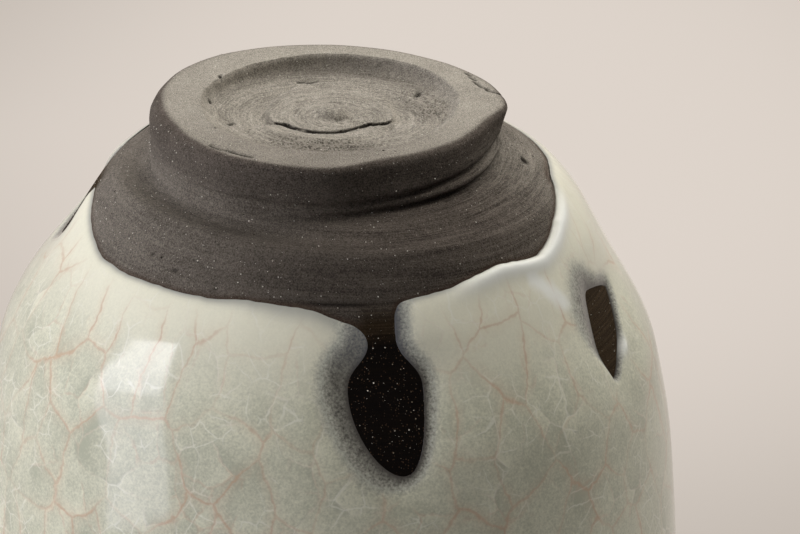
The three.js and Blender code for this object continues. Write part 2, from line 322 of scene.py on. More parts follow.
def hollow_ring(radius):
    """A ring of the hollow under the foot: stub, mound, floor and wall."""
    slope = np.clip((radius - mound_edge) / (wall_start - mound_edge), 0, 1)
    floor = hollow_depth - (hollow_depth - wall_depth) * slope
    stub = stub_height * (1 - ease(radius, stub_top_radius, stub_radius))
    mound_end = mound_edge + mound_edge_run * (1 - 0.6 * torn)
    mound = (mound_step - flap_rise * torn) * (1 - ease(radius, mound_edge, mound_end))
    mound = mound + flap_rise * torn * (1 - ease(radius, flap_line, flap_line + flap_edge_run))
    up_wall = np.clip((radius - wall_start) / (hollow_radius - wall_start), 0, 1)
    height = (floor - mound - stub) * (1 - up_wall**wall_bend) + tear_at(radius)
    near_rim = radius / hollow_radius
    return ring(hollow_centre, radius + rim_oval * near_rim**4 + rim_ragged * near_rim**8, height)


# The foot's side is nearly upright on one side and runs into the shoulder there without an undercut.
# In front the tool went deeper: the side is taller there, and the shoulder starts further from the face.
straight_side = bump(bearings, 350, 62)
side_taper = foot_taper * (1 - 0.65 * straight_side)
side_undercut = undercut_depth * (0.75 + 0.75 * bump(bearings, 228, 55) - 0.75 * straight_side)
deeper = bumps(bearings, (268, 54, 1.7), (350, 44, 2.2))
side_lean = 1.7 * bump(bearings, 345, 44)
lean_height = 2.0
neck_stretch = 1 + 0.3 * deeper + 0.6 * bump(bearings, 212, 40)
foot_wobble = waves((3, 0.1, 1.0), (7, 0.06, 2.2), (17, 0.04, 0.0)) + 0.9 * bump(bearings, 305, 26)


def foot_ring(inset, height):
    """A ring of the foot's outside, with the sloped flat that the tool left and a slight wobble."""
    near_face = 1 - np.clip(height / foot_height, 0, 1)
    flat = (flat_depth + flat_slope * near_face) * peak(turn_from(bearings, flat_bearing), 0, flat_spread, 6)
    flat = flat + side_lean * (1 - ease(height, 0, lean_height))
    return ring(foot_centre, foot_radius - flat + foot_wobble - inset, height)


def neck_ring(height):
    """A ring between foot and shoulder: an undercut, a ridge beside a second cut, then the shoulder."""
    inset = side_taper + side_undercut * ease(height, foot_height, foot_height + undercut_run)
    ridge = ridge_reach * bump(bearings, 208, 46) * peak(height, ridge_height, ridge_half_height, 4)
    low = foot_ring(inset - ridge, height)
    high = ring((0, 0), wall_radius(shoulder_start), height)
    points = low + (high - low) * ease(height, neck_end, shoulder_start)
    points[:, 2] = foot_height + deeper + (height - foot_height) * neck_stretch
    return points


def spaced(*runs):
    """Numbers in runs, each from a start up to, and without, an end, about a spacing apart."""
    numbers = []
    for start, end, spacing in runs:
        steps = max(int(round((end - start) / spacing)), 1)
        numbers.append(np.linspace(start, end, steps + 1)[:-1])
    return np.concatenate(numbers)


# Rings from the middle of the hollow round to the floor inside. They lie close at the tear and follow it.
tear_ring = 9.0
near_tear = spaced((0.4, 5.4, 0.5), (5.4, 8.2, 0.4), (8.2, 9.9, 0.12))
past_tear = spaced((9.9, 17.6, 0.5), (17.6, hollow_radius, 0.22))
hollow_radii = []
for radius in np.concatenate([near_tear, past_tear]):
    along_tear = ease(radius, 2.0, 8.4) * (1 - ease(radius, 9.6, 16.0))
    hollow_radii.append(radius + (tear_line - tear_ring) * torn * along_tear)
hollow_rings = len(hollow_radii)
face_rings = 15
edge_rings = 6
side_rings = 7
neck_rings = 13
face_end = hollow_rings + face_rings
rings = [hollow_ring(radius) for radius in hollow_radii]
hollow_edge = hollow_ring(hollow_radius)
face_edge = foot_ring(foot_edge_round, 0.0)
for share in np.linspace(0, 1, face_rings + 1)[:-1]:
    rings.append(hollow_edge + (face_edge - hollow_edge) * share**1.4)
for angle in np.linspace(0, np.pi / 2, edge_rings):
    rings.append(foot_ring(foot_edge_round * (1 - np.sin(angle)), foot_edge_round * (1 - np.cos(angle))))
side_rise = foot_height - foot_edge_round
for share in np.linspace(0, 1, side_rings + 1)[1:]:
    side = foot_ring(side_taper * share, foot_edge_round + side_rise * share)
    side[:, 2] += deeper * share
    rings.append(side)
rings += [neck_ring(height) for height in np.linspace(foot_height, shoulder_start, neck_rings + 2)[1:-1]]
shoulder_end = wall_length(19.5)
patch_end = wall_length(38.0)
lengths = spaced(
    (0, shoulder_end, 0.46),
    (shoulder_end, patch_end, 0.85),
    (patch_end, lip_length, 8.0),
    (lip_length, inside_length, 1.2),
    (inside_length, floor_length - 2.0, 8.0),
)
first_wall_ring = len(rings)
shoulder_shift = (shoulder_start - foot_height) * (neck_stretch - 1) + deeper
shift_run = 8.0 + 2.5 * bump(bearings, 15, 30)
for length in lengths:
    radius, height, _, _ = on_line(length)
    rings.append(ring((0, 0), radius, height + shoulder_shift * (1 - ease(length, 0, shift_run))))
clay_points = np.stack(rings)

# Small marks. Lines pressed into the underside have points, a width and a depth, its pits a place, a radius
# and a depth, and gouges in the shoulder a bearing, a height, a half width, a half height and a depth.
face_lines = [
    ([(-19.9, 16.6), (-21.5, 11.7), (-23.2, 8.8), (-25.6, 7.2)], 0.24, 0.45),
    ([(18.6, -19.0), (15.6, -21.3), (12.3, -23.2)], 0.3, 0.35),
    ([(6.7, 16.8), (4.2, 17.1), (1.5, 16.9)], 0.35, 0.3),
    ([(1.8, 7.1), (-1.6, 6.7), (-4.1, 5.1), (-7.0, 3.2)], 0.24, 0.16),
]
face_pits = [
    ((-12.3, 12.2), 0.3, 0.9),
    ((16.2, -5.3), 0.27, 0.6),
    ((18.7, 10.6), 0.3, 0.4),
    ((19.9, 3.7), 0.25, 0.4),
]
shoulder_gouges = [
    (328.5, 8.0, 0.4, 0.5, 0.45),
    (315.6, 14.7, 0.7, 0.35, 0.35),
    (307.7, 15.6, 1.0, 0.3, 0.35),
    (296.3, 16.4, 0.5, 0.4, 0.35),
    (268, 16.2, 10.5, 0.32, 0.4),
    (181, 6.5, 1.2, 0.4, 0.6),
    (183.5, 7.3, 0.9, 0.4, 0.6),
]
pit_stretch = 2.6
marked_height = 4.0

under = clay_points[:first_wall_ring]
under_x, under_y = under[..., 0], under[..., 1]
sunk = np.zeros(under.shape[:2])
for line, width, depth in face_lines:
    sunk += depth * peak(line_distance(under_x, under_y, line), 0, width)
for (x, y), radius, depth in face_pits:
    sunk += depth * peak(np.hypot(under_x - x, (under_y - y) / pit_stretch), 0, radius)
sunk *= under[..., 2] < marked_height
under[..., 2] += sunk

shoulder_rings = int((lengths < shoulder_end).sum())
shoulder = clay_points[first_wall_ring : first_wall_ring + shoulder_rings]
shoulder_radius = np.hypot(shoulder[..., 0], shoulder[..., 1])
cut = np.zeros(shoulder.shape[:2])
for bearing, height, width, tall, depth in shoulder_gouges:
    across = np.radians(turn_from(bearings, bearing)) * shoulder_radius
    cut += depth * peak(across, 0, width) * peak(shoulder[..., 2], height, tall)
shoulder[..., :2] *= (1 - cut / shoulder_radius)[..., None]


def ring_faces(count):
    """Faces of a surface through rings of points, closed at both ends by the two points that follow them."""
    i, k = np.meshgrid(np.arange(count - 1), np.arange(SEGMENTS), indexing="ij")
    here = i * SEGMENTS + k
    beside = i * SEGMENTS + (k + 1) % SEGMENTS
    faces = np.stack([here, beside, beside + SEGMENTS, here + SEGMENTS], -1).reshape(-1, 4).tolist()
    k = np.arange(SEGMENTS)
    beside = (k + 1) % SEGMENTS
    last = (count - 1) * SEGMENTS
    start_point = np.full(SEGMENTS, count * SEGMENTS)
    faces += np.stack([start_point, beside, k], 1).tolist()
    return faces + np.stack([last + k, last + beside, start_point + 1], 1).tolist()


def set_shares(mesh, shares):
    """Gives each point of a mesh a number for each named share."""
    for key, values in shares.items():
        mesh.attributes.new(key, "FLOAT", "POINT").data.foreach_set("value", values.astype(np.float32))


def new_object(name, data):
    """An object in the scene for a mesh, a lamp or a camera."""
    made = bpy.data.objects.new(name, data)
    bpy.context.scene.collection.objects.link(made)
    return made


def mesh_piece(name, points, faces, shares):
    """A smooth object from points in millimetres, with shares on its points."""
    mesh = bpy.data.meshes.new(name)
    mesh.from_pydata((points * MM).tolist(), [], faces)
    set_shares(mesh, shares)
    mesh.shade_smooth()
    mesh.update()
    return new_object(name, mesh)


count = len(clay_points)
hollow_middle = [*hollow_centre, clay_points[0, :, 2].mean() - 0.02]
points = np.concatenate([clay_points.reshape(-1, 3), [hollow_middle, [0, 0, floor_height]]])
point_bearing = np.degrees(np.arctan2(points[:, 1], points[:, 0])) % 360
row = np.concatenate([np.repeat(np.arange(count), SEGMENTS), [0, count]])
lip_row = first_wall_ring + int((lengths < lip_length).sum())
outside = ((points[:, 2] < patch_top) & (row < lip_row)).astype(float)
on_wall = (outside > 0) & (row >= first_wall_ring)
point_length = np.where(on_wall, wall_length(points[:, 2]), lip_length)

# Where a finger wiped the clay it is dark, most of all away from the bare shoulder
wiped = np.zeros(len(points))
for patch in finger_patches:
    distance, _ = patch_distance(patch, point_bearing, point_length)
    low = patch["low"] if patch["neck"] else 0
    dark = patch["dark"] * ease(points[:, 2], low - 6.0, low + 2.5)
    wiped = np.maximum(wiped, ease(-distance, -3.6, 0.2) * dark)

# Where the turning lines show: in the hollow, and on the shoulder, most of all beside the flat
in_hollow = ease(hollow_rings - 4 - row, 0, 6)
on_shoulder = ease(row, face_end, face_end + 14) * outside
on_shoulder *= 0.25 + 0.75 * bump(point_bearing, 215, 45)

# Where the clay is paler: on the underside, partly its own scraped colour and partly painted light from the
# lamps by the foot.
# Painted shade darkens the front of the face and of the hollow's rim, and the hollow's back wall; a painted
# sheen lightens the foot's side and the shoulder at the left and far right. In front the shoulder is darker,
# a painted shade.
scraped_and_painted_light = ease(face_end + 2.5 - row, 0, 4)
hollow_reach = np.hypot(points[:, 0] - hollow_centre[0], points[:, 1] - hollow_centre[1])
# Painted shade at the front of the face and of the hollow's rim
scraped_and_painted_light *= 1 - 0.42 * bump(point_bearing, 275, 62) * ease(hollow_reach, 17, 21)
# Painted shade on the hollow's back wall, as if the rim shaded it
scraped_and_painted_light *= 1 - 0.45 * bump(point_bearing, 92, 55) * ease(hollow_reach, 17, 19) * (row < hollow_rings)
# Painted sheen: the foot's side and the shoulder lighter at the left and far right
painted_sheen = bumps(point_bearing, (346, 56, 0.3), (178, 26, 0.5)) * outside
scraped_and_painted_light = np.maximum(scraped_and_painted_light, painted_sheen * ease(row, face_end + 3, face_end + 19))
# Painted shade on the shoulder in front
painted_front_shade = 0.3 * bump(point_bearing, 270, 30) * outside * ease(row, first_wall_ring, first_wall_ring + 12)

# Crevices are painted dark as painted shade, and the clay is coarse and porous where the tool dragged on the
# hollow's floor, its darker tone and dark pores partly painted shade
painted_crevice_shade = np.zeros(len(points))
torn_open = np.stack([tear_at(radius) for radius in hollow_radii]).ravel()
painted_crevice_shade[: torn_open.size] = ease(torn_open, 0.06, 0.17)
painted_crevice_shade[: sunk.size] = np.maximum(painted_crevice_shade[: sunk.size], ease(sunk.ravel(), 0.08, 0.24))
cut_start = first_wall_ring * SEGMENTS
painted_crevice_shade[cut_start : cut_start + cut.size] = ease(cut.ravel(), 0.15, 0.4)
# Coarse places of the hollow: a real rough texture, darkened partly as painted shade
coarse_with_painted_shade = 0.2 * in_hollow
coarse_with_painted_shade = np.maximum(coarse_with_painted_shade, bump(point_bearing, 276, 46) * peak(hollow_reach, 16.0, 4.6, 6))
coarse_with_painted_shade = np.maximum(coarse_with_painted_shade, 0.8 * bump(point_bearing, 155, 35) * peak(hollow_reach, 15.5, 3.2, 4))
coarse_with_painted_shade = np.maximum(coarse_with_painted_shade, 0.7 * bump(point_bearing, 280, 70) * peak(hollow_reach, 2.6, 1.5))
coarse_with_painted_shade *= row < hollow_rings + 6
clay_shares = {"wiped": wiped, "in_hollow": in_hollow, "on_shoulder": on_shoulder, "scraped_and_painted_light": scraped_and_painted_light}
clay_shares.update({"painted_crevice_shade": painted_crevice_shade, "coarse_with_painted_shade": coarse_with_painted_shade, "painted_front_shade": painted_front_shade})
clay = mesh_piece("clay", points, ring_faces(count), clay_shares)


def operator(operation, reflected=False):
    """A method that adds a Math node for a socket and another value, which comes first if reflected."""

    def method(self, other):
        sockets = {0: other, 1: self} if reflected else {0: self, 1: other}
        return self.nodes.add("ShaderNodeMath", sockets, operation=operation)

    return method


class Socket:
    """A number in a node tree. An expression on it adds Math nodes to the tree."""

    def __init__(self, nodes, socket):
        self.nodes = nodes
        self.socket = socket

    __add__ = operator("ADD")
    __radd__ = operator("ADD", True)
    __mul__ = operator("MULTIPLY")
    __rmul__ = operator("MULTIPLY", True)
    __sub__ = operator("SUBTRACT")
    __rsub__ = operator("SUBTRACT", True)
    __truediv__ = operator("DIVIDE")
    __rtruediv__ = operator("DIVIDE", True)
    __pow__ = operator("POWER")
    at_least = operator("MAXIMUM")
    angle_from = operator("ARCTAN2")


def colour(red, green, blue):
    """A colour as seen on a screen, 0 to 255, in the linear values that shaders take."""
    share = np.array([red, green, blue]) / 255
    linear = np.where(share <= 0.04045, share / 12.92, ((share + 0.055) / 1.055) ** 2.4)
    return (*linear.tolist(), 1.0)


def find(sockets, key):
    """A socket by its number, or by its identifier or name. None where a node has no such number."""
    if isinstance(key, int):
        return sockets[key] if key < len(sockets) else None
    return next(each for each in sockets if key in (each.identifier, each.name))


class Nodes:
    """A node tree being built."""

    def __init__(self, tree):
        self.tree = tree
        tree.nodes.clear()

    def add(self, kind, sockets=None, output=0, **settings):
        """One node: its settings first, then the values or links of its sockets. Gives one of its outputs."""
        node = self.tree.nodes.new(kind)
        for key, value in settings.items():
            setattr(node, key, value)
        for key, value in (sockets or {}).items():
            target = find(node.inputs, key)
            if isinstance(value, Socket):
                self.tree.links.new(value.socket, target)
            else:
                target.default_value = value
        found = find(node.outputs, output)
        return None if found is None else Socket(self, found)

    def ramp(self, value, low, high):
        """From 0 at low to 1 at high, smooth at both ends. With low above high it falls."""
        if low > high:
            return 1 - self.ramp(value, high, low)
        sockets = {"Value": value, "From Min": low, "From Max": high}
        return self.add("ShaderNodeMapRange", sockets, interpolation_type="SMOOTHSTEP")

    def mix(self, share, first, second):
        """A colour between two."""
        sockets = {"Factor_Float": share, "A_Color": first, "B_Color": second}
        return self.add("ShaderNodeMix", sockets, "Result_Color", data_type="RGBA")

    def lay(self, base, *layers):
        """Colours laid on a base one after another, each with its share and its colour on a screen."""
        for share, tint in layers:
            base = self.mix(share, base, colour(*tint))
        return base

    def vector(self, operation, first, second=(0, 0, 0), output=0):
        return self.add("ShaderNodeVectorMath", {0: first, 1: second}, output, operation=operation)

    def scale(self, vector, factor):
        return self.add("ShaderNodeVectorMath", {0: vector, "Scale": factor}, operation="SCALE")

    def axis(self, vector, name):
        return self.add("ShaderNodeSeparateXYZ", {0: vector}, name)

    def place(self):
        """Place on the piece, in millimetres."""
        return self.scale(self.add("ShaderNodeTexCoord", output="Object"), 1 / MM)

    def share(self, name):
        """A share that the points of the mesh carry."""
        return self.add("ShaderNodeAttribute", output="Fac", attribute_name=name)

    def noise(self, place, scale, detail, roughness=0.5, output=0):
        sockets = {"Vector": place, "Scale": scale, "Detail": detail, "Roughness": roughness}
        return self.add("ShaderNodeTexNoise", sockets, output)

    def ring_noise(self, place, per_length, breaks, detail, roughness, seed=0.0):
        """Noise drawn out into lines that run round the axis and break off here and there."""
        flat_part = self.vector("MULTIPLY", place, (1.0, 1.0, 0.0))
        heading = self.vector("MULTIPLY", self.vector("NORMALIZE", flat_part), (breaks, breaks, 0.0))
        level = self.add("ShaderNodeCombineXYZ", {"Z": self.axis(place, "Z") * per_length})
        reach = self.vector("LENGTH", flat_part, output="Value") * per_length + seed
        sockets = {"Vector": self.vector("ADD", heading, level), "W": reach, "Scale": 1.0}
        sockets.update({"Detail": detail, "Roughness": roughness})
        return self.add("ShaderNodeTexNoise", sockets, noise_dimensions="4D")

    def surface(self, sockets):
        """Closes a material with a shader that has these values."""
        shader = self.add("ShaderNodeBsdfPrincipled", sockets)
        self.add("ShaderNodeOutputMaterial", {"Surface": shader})


def new_finish(name):
    """A new material and its empty node tree."""
    material = bpy.data.materials.new(name)
    material.use_nodes = True
    return material, Nodes(material.node_tree)


def new_tree(name, **kinds):
    """A Geometry Nodes tree that takes a geometry and named values and gives a geometry, and its inputs."""
    tree = bpy.data.node_groups.new(name, "GeometryNodeTree")
    for key, kind in {"Geometry": "Geometry", **kinds}.items():
        tree.interface.new_socket(key, in_out="INPUT", socket_type="NodeSocket" + kind)
    tree.interface.new_socket("Geometry", in_out="OUTPUT", socket_type="NodeSocketGeometry")
    nodes = Nodes(tree)
    group = nodes.add("NodeGroupInput").socket.node
    return nodes, {each.name: Socket(nodes, each) for each in group.outputs}


def run_tree(piece, nodes, **values):
    """Gives a piece the plain mesh that a tree makes of it."""
    modifier = piece.modifiers.new(nodes.tree.name, "NODES")
    modifier.node_group = nodes.tree
    for each in nodes.tree.interface.items_tree:
        if each.in_out == "INPUT" and each.name in values:
            modifier[each.identifier] = values[each.name]
    evaluated = piece.evaluated_get(bpy.context.evaluated_depsgraph_get())
    mesh = bpy.data.meshes.new_from_object(evaluated)
    piece.modifiers.remove(modifier)
    piece.data = mesh


# Lines that the turning tool left: shallow cuts that run round a centre and follow the surface
turning, inputs = new_tree(
    "turning_lines", Centre="Vector", Pitch="Float", Depth="Float", Seed="Float", Share="String"
)
from_centre = turning.vector("SUBTRACT", turning.add("GeometryNodeInputPosition"), inputs["Centre"])
lines = turning.ring_noise(from_centre, 1 / inputs["Pitch"], 0.9, 3.0, 0.62, inputs["Seed"])
share = turning.add("GeometryNodeInputNamedAttribute", {"Name": inputs["Share"]}, data_type="FLOAT")
depth = turning.ramp(lines, 0.42, 0.75) * inputs["Depth"] * share * -1.0
offset = turning.scale(turning.add("GeometryNodeInputNormal"), depth)
cut_lines = turning.add("GeometryNodeSetPosition", {"Geometry": inputs["Geometry"], "Offset": offset})
turning.add("NodeGroupOutput", {"Geometry": cut_lines})
turning_centre = (hollow_centre[0] * MM, (hollow_centre[1] + floor_shift) * MM, 0)
run_tree(clay, turning, Centre=turning_centre, Pitch=1.3 * MM, Depth=0.26 * MM, Seed=3.7, Share="in_hollow")
run_tree(clay, turning, Centre=(0, 0, 0), Pitch=1.1 * MM, Depth=0.12 * MM, Seed=8.1, Share="on_shoulder")


def clay_finish():
    """Bare stoneware: fine turning lines and grain, pale grit, dark pits, and black-brown wiped patches."""
    material, nodes = new_finish("turned_stoneware")
    place = nodes.place()

    def dots(per_mm, size, share, long=1.0):
        """Round dots of about a size in a share of the cells, drawn out where they are long."""
        sockets = {"Vector": nodes.vector("MULTIPLY", place, (1.0, 1 / long, 1.0)), "Scale": per_mm}
        near = nodes.add("ShaderNodeTexVoronoi", sockets, "Distance")
        pick = nodes.add("ShaderNodeTexVoronoi", sockets, "Color")
        wide = nodes.axis(pick, "Y") * size + size * 0.4
        chosen = nodes.ramp(nodes.axis(pick, "X"), 1 - share, 1 - share + 0.02)
        return nodes.ramp(near / wide, 1.0, 0.5) * chosen

    wiped = nodes.share("wiped")
    coarse_with_painted_shade = nodes.share("coarse_with_painted_shade")
    fine = nodes.ring_noise(place, 3.4, 2.2, 2.0, 0.6)
    broad = nodes.ring_noise(place, 0.9, 1.6, 2.0, 0.6)
    grain = nodes.noise(place, 4.6, 2.0, 0.7)
    clump = nodes.noise(place, 1.3, 3.0, 0.7)
    blotch = nodes.noise(place, 0.12, 2.0, 0.7)
    grit = dots(1.6, 0.1, 0.35)
    pits = dots(0.6, 0.13, 0.12)
    pores_with_painted_shade = dots(2.8, 0.62, 0.85, 2.0) * coarse_with_painted_shade
    lined = 0.1 + nodes.share("on_shoulder") * 0.9 + nodes.share("in_hollow") * 0.6
    streak = (fine - 0.5) * lined + (broad - 0.5) * lined * 0.7
    tone = nodes.ramp(grain * 1.4 + clump * 0.5 + blotch * 0.25 + streak, 0.64, 1.52)
    # The side's dark colours and the underside's pale ones are partly the clay's own, partly painted shade
    # and painted light
    side = nodes.mix(tone, colour(49, 43, 39), colour(110, 101, 93))
    underside = nodes.mix(tone, colour(104, 99, 91), colour(190, 182, 169))
    bare = nodes.lay(
        nodes.mix(nodes.share("scraped_and_painted_light"), side, underside),
        # Painted shade on the shoulder in front
        (nodes.share("painted_front_shade"), (38, 33, 29)),
        # The coarse places and their pores: real texture, their darkness partly painted shade
        (coarse_with_painted_shade * 0.5, (84, 78, 70)),
        (pores_with_painted_shade * 0.75, (48, 42, 37)),
        (grit, (186, 178, 166)),
        (pits, (40, 35, 31)),
        # Painted shade in the tear, the pressed lines and pits, and the gouges
        (nodes.share("painted_crevice_shade") * 0.9, (20, 16, 14)),
        (nodes.share("near_glaze") * 0.6, (58, 38, 26)),
    )
    fibre = nodes.ramp(fine * 0.7 + grain * 0.5, 0.45, 0.85)
    brown = nodes.mix(fibre, colour(38, 29, 19), colour(70, 57, 42))
    black = nodes.lay(
        nodes.mix(fibre, colour(2, 1, 1), colour(10, 6, 4)),
        (dots(3.0, 0.3, 0.6), (78, 60, 46)),
        (dots(1.7, 0.15, 0.4), (160, 146, 126)),
    )
    base = nodes.mix(nodes.ramp(wiped, 0.0, 0.6), bare, brown)
    base = nodes.mix(nodes.ramp(wiped, 0.55, 0.98), base, black)
    relief = fine * lined + broad * lined * 0.5 + grain + clump * 0.5 - pits - pores_with_painted_shade + grit * 0.3
    normal = nodes.add("ShaderNodeBump", {"Strength": 0.8, "Distance": 0.15 * MM, "Height": relief})
    roughness = 0.92 - wiped * 0.2
    nodes.surface({"Base Color": base, "Roughness": roughness, "Normal": normal, "Specular IOR Level": 0.08})
    return material


clay.data.materials.clear()
clay.data.materials.append(clay_finish())
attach(clay, "root")
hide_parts("clay_body")


# Grit
# Grains of feldspar in the clay, which the turning tool laid bare. They are pale, up to a quarter of
# a millimetre across, and stand out of the bare foot and shoulder by about half their size.
grains, inputs = new_tree(
    "grit_grains", Density="Float", Smallest="Float", Largest="Float", Seed="Int", Material="Material"
)
bare = grains.add("GeometryNodeInputNamedAttribute", {"Name": "bare"}, data_type="FLOAT")
density = inputs["Density"] * bare
sockets = {"Mesh": inputs["Geometry"], "Density": density, "Seed": inputs["Seed"]}
scatter = grains.add("GeometryNodeDistributePointsOnFaces", sockets, distribute_method="RANDOM")
grain = grains.add("GeometryNodeMeshIcoSphere", {"Radius": 1.0, "Subdivisions": 1})
pick = grains.add("FunctionNodeRandomValue", {"Seed": inputs["Seed"]}, "Value_001", data_type="FLOAT")
size = inputs["Smallest"] + (inputs["Largest"] - inputs["Smallest"]) * pick**4.0
placed = grains.add("GeometryNodeInstanceOnPoints", {"Points": scatter, "Instance": grain, "Scale": size})
loose = grains.add("GeometryNodeRealizeInstances", {"Geometry": placed})
finished = grains.add("GeometryNodeSetMaterial", {"Geometry": loose, "Material": inputs["Material"]})
grains.add("NodeGroupOutput", {"Geometry": finished})

# Lowest line of the glaze: the bowl was dipped to three levels, one side after another.
# Each level rises towards a bearing, and the coat sagged or drew back a little before it dried.
dips = [
    {"level": 16.4, "rise": 2.4, "bearing": 0},
    {"level": 16.4, "rise": 8.5, "bearing": 255},
    {"level": 13.6, "rise": 10.7, "bearing": 300},
]
dip_lowest = 9.0
dip_corner = 0.4
sags = [(288, 8, 0.35), (266, 7, -1.9), (231, 10, 1.2)]


def soft_min(first, second, width):
    """The lesser of two, with their corner rounded over a width."""
    share = np.maximum(width - np.abs(first - second), 0) / width
    return np.minimum(first, second) - share * share * width / 4


def dip_height(bearing):
    """Height of the glaze's lowest line at a bearing."""
    height = np.full(np.shape(bearing), clay_height)
    for dip in dips:
        level = dip["level"] + dip["rise"] * np.cos(np.radians(bearing - dip["bearing"]))
        height = soft_min(height, level, dip_corner)
    return -soft_min(-height, -dip_lowest, dip_corner) - bumps(bearing, *sags)


dip_step = 0.25
dip_bearings = np.arange(0, 360.01, dip_step)
ragged = np.random.default_rng(11)
dip_lengths = wall_length(dip_height(dip_bearings))
for number in (17, 29, 41, 67, 97, 131):
    phase = ragged.uniform(0, 2 * np.pi)
    dip_lengths += 0.5 / number**0.75 * np.sin(np.radians(dip_bearings * number) + phase)
dip_slant = np.gradient(dip_lengths, np.radians(dip_step)) / profile(dip_lengths)[0]
dip_shorten = 1 / np.sqrt(1 + dip_slant**2)


def above_dip(bearing, length):
    """How far up the wall a place is from the dip line."""
    return length - np.interp(bearing % 360, dip_bearings, dip_lengths)


def glaze_edge(bearing, length):
    """How far a place is inside the edge of the glaze, less than 0 outside it."""
    edge = above_dip(bearing, length) * np.interp(bearing % 360, dip_bearings, dip_shorten)
    edge = np.minimum(edge, patch_far)
    for patch in finger_patches:
        distance, across = patch_distance(patch, bearing, length)
        right, left = patch["corner"]
        edge = soft_min(edge, distance, right + (left - right) * ease(across, -1.0, 1.0))
    return edge


def glaze_thinning(bearing, length):
    """Beside the patches: the share of the glaze's thickness and of its colour, and where it is bluish."""
    thick = np.ones(np.shape(length))
    cover = np.ones(np.shape(length))
    bluish = np.zeros(np.shape(length))
    for patch in finger_patches:
        distance, across = patch_distance(patch, bearing, length)
        half, low, smoke = patch["width"] / 2, patch["low"], patch["smoke"]
        side = ease(across, -half, half)
        rise = ease(length, wall_length(low), wall_length(patch["high"]))
        reaches = []
        for key in ("smoky", "clear"):
            at_low, at_high = [first + (second - first) * side for first, second in patch[key]]
            reaches.append(at_low + (at_high - at_low) * rise)
        smoky, clear = reaches
        thick = np.minimum(thick, ease(distance, -0.2, np.minimum(clear, 3.4)))
        share = smoke * ease(distance, 0.0, 1.1) + (1 - smoke) * ease(distance, smoky, clear)
        cover = np.minimum(cover, share)
        if patch["neck"]:
            near_neck = 1 - ease(length, wall_length(low + 1.0), wall_length(low + 5.5))
            bluish = np.maximum(bluish, near_neck * ease(8.0 - distance, 0, 4.0))
    return thick, cover, bluish


clay_edge = glaze_edge(point_bearing, point_length)
bare_share = np.where(on_wall, ease(-clay_edge, 0.1, 0.6), 1.0) * outside
near_glaze = np.where(on_wall, peak(clay_edge, 0, 0.5), 0.0)
set_shares(clay.data, {"bare": bare_share, "near_glaze": near_glaze})


def grit_finish():
    """Pale feldspar, some grains clear and greyer than others."""
    material, nodes = new_finish("feldspar_grit")
    pick = nodes.noise(nodes.place(), 0.7, 1.0)
    base = nodes.mix(nodes.ramp(pick, 0.35, 0.65), colour(150, 142, 130), colour(226, 220, 208))
    nodes.surface({"Base Color": base, "Roughness": 0.55})
    return material


grit = new_object("clay_grit", clay.data.copy())
per_square_metre = 420000.0
grain_sizes = {"Smallest": 0.03 * MM, "Largest": 0.13 * MM}
run_tree(grit, grains, Density=per_square_metre, Seed=5, Material=grit_finish(), **grain_sizes)
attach(grit, "root")


# Outer glaze
# The thick coat that the bowl was dipped into, held by its foot: milky grey-green glass, crazed
# all over, with a rolled edge at the dip lines. It thins to nothing at the fingers' patches.
outer_coat = 1.4
edge_coat = 0.8
edge_round = 0.8
edge_run = 8.0
feather_run = 1.3
thin_share = 0.2
bead_rise = 0.5
lap_depth = 6.0
lap_end = inside_length + lap_depth
coat_sunk = 0.1
inner_coat = 1.1
lap_coat = 0.85
chart_radius = 42.0
chart_start = 90.0
chart_width = 2 * np.pi * chart_radius


def chart_turn(x):
    """Bearing at a place across the chart, which is the wall laid out flat."""
    return chart_start + np.degrees(x / chart_radius)


def level_lines(field, level, x, y):
    """Points where a field on a grid passes a level, and the pairs of them that are joined."""
    above = field > level
    crossed_x = above[:, 1:] != above[:, :-1]
    crossed_y = above[1:, :] != above[:-1, :]
    along_x = np.full(crossed_x.shape, -1)
    along_y = np.full(crossed_y.shape, -1)
    along_x[crossed_x] = np.arange(crossed_x.sum())
    along_y[crossed_y] = crossed_x.sum() + np.arange(crossed_y.sum())
    i, j = np.nonzero(crossed_x)
    t = (level - field[i, j]) / (field[i, j + 1] - field[i, j])
    on_x = np.stack([x[j] + t * (x[j + 1] - x[j]), y[i]], 1)
    i, j = np.nonzero(crossed_y)
    t = (level - field[i, j]) / (field[i + 1, j] - field[i, j])
    on_y = np.stack([x[j], y[i] + t * (y[i + 1] - y[i])], 1)
    sides = np.stack([along_x[:-1], along_y[:, 1:], along_x[1:], along_y[:, :-1]], -1)
    found = (sides >= 0).sum(-1)
    pairs = [np.sort(sides[found == 2], -1)[:, 2:], sides[found == 4][:, :2], sides[found == 4][:, 2:]]
    return np.concatenate([on_x, on_y]), np.concatenate(pairs)


# Points lie close along the edge of the glaze, on lines of one distance from it, and in even rows elsewhere
grid_spacing = 0.36
row_spacing = 1.1
lip_spacing = 0.5
lap_spacing = 0.4
column_spacing = 1.2
chart_x = np.linspace(0, chart_width, 721)
chart_y = np.arange(wall_length(7.0), wall_length(42.0), grid_spacing)
grid_x, grid_y = np.meshgrid(chart_x, chart_y)
grid_edge = glaze_edge(chart_turn(grid_x), grid_y)
grid_edge[:, -1] = grid_edge[:, 0]
edge_levels = [0.0, 0.05, 0.15, 0.32, 0.55, 0.85, 1.25, 1.8, 2.6, 3.6]
chart_points = []
chart_pairs = []
total = 0
for level in edge_levels:
    line_points, line_pairs = level_lines(grid_edge, level, chart_x, chart_y)
    chart_points.append(line_points)
    chart_pairs.append(line_pairs + total)
    total += len(line_points)
before_lip = lip_length - 2.0
before_lap = lap_end - 1.6
wall_rows = np.arange(chart_y[0], before_lip, row_spacing)
lip_rows = np.arange(before_lip, before_lap, lip_spacing)
